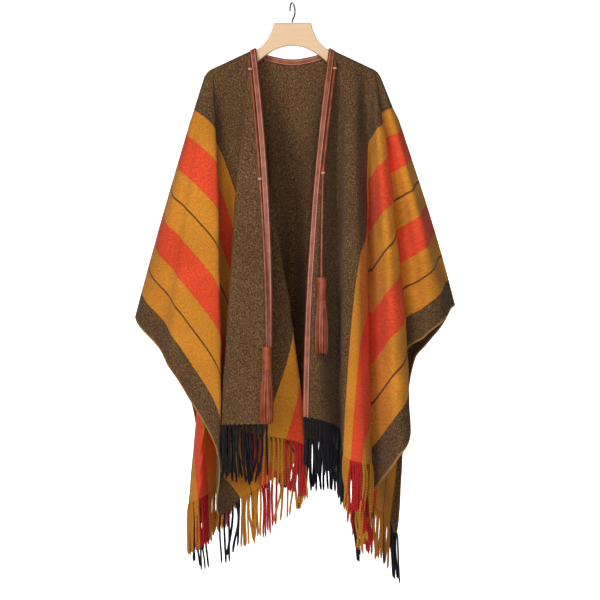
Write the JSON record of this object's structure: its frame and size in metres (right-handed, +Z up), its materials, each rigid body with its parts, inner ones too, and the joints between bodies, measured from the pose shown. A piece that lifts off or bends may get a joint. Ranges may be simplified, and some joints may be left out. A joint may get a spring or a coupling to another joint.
{
  "type": "open-front wool wrap poncho on a wooden hanger",
  "caption": "Blanket wrap with an open front, woven stripes, leather edge trim, hanging laces with tassels and a yarn fringe, on a wooden hanger.",
  "frame": {"origin": "inside top of the hanger's hook, where it bears on a rail", "axes": "+Z up, +X to the right of a viewer facing the open front, -Y towards that viewer"},
  "size_m": [0.6734, 0.3162, 1.2226],
  "materials": {
    "wool_cloth": "soft brushed wool weave, brown melange with mustard and red stripes",
    "yarn_fringe": "twisted wool yarn, in the stripes' colours and near black",
    "leather_trim": "matte tan leather with two rows of stitching",
    "leather_lace": "satin tan leather",
    "wood": "clear varnished light wood",
    "steel": "bright steel wire"
  },
  "bodies": {
    "root": {"wrap_front_left": "wool_cloth", "fringe_front_left": "yarn_fringe", "trim_front_left": "leather_trim", "lace_left": "leather_lace", "tassel_left": "leather_lace", "wrap_front_right": "wool_cloth", "fringe_front_right": "yarn_fringe", "trim_front_right": "leather_trim", "lace_right": "leather_lace", "tassel_right": "leather_lace", "wrap_back": "wool_cloth", "fringe_back": "yarn_fringe", "trim_neck": "leather_trim", "hanger_wood": "wood", "hanger_hook": "steel"}
  },
  "joints": []
}
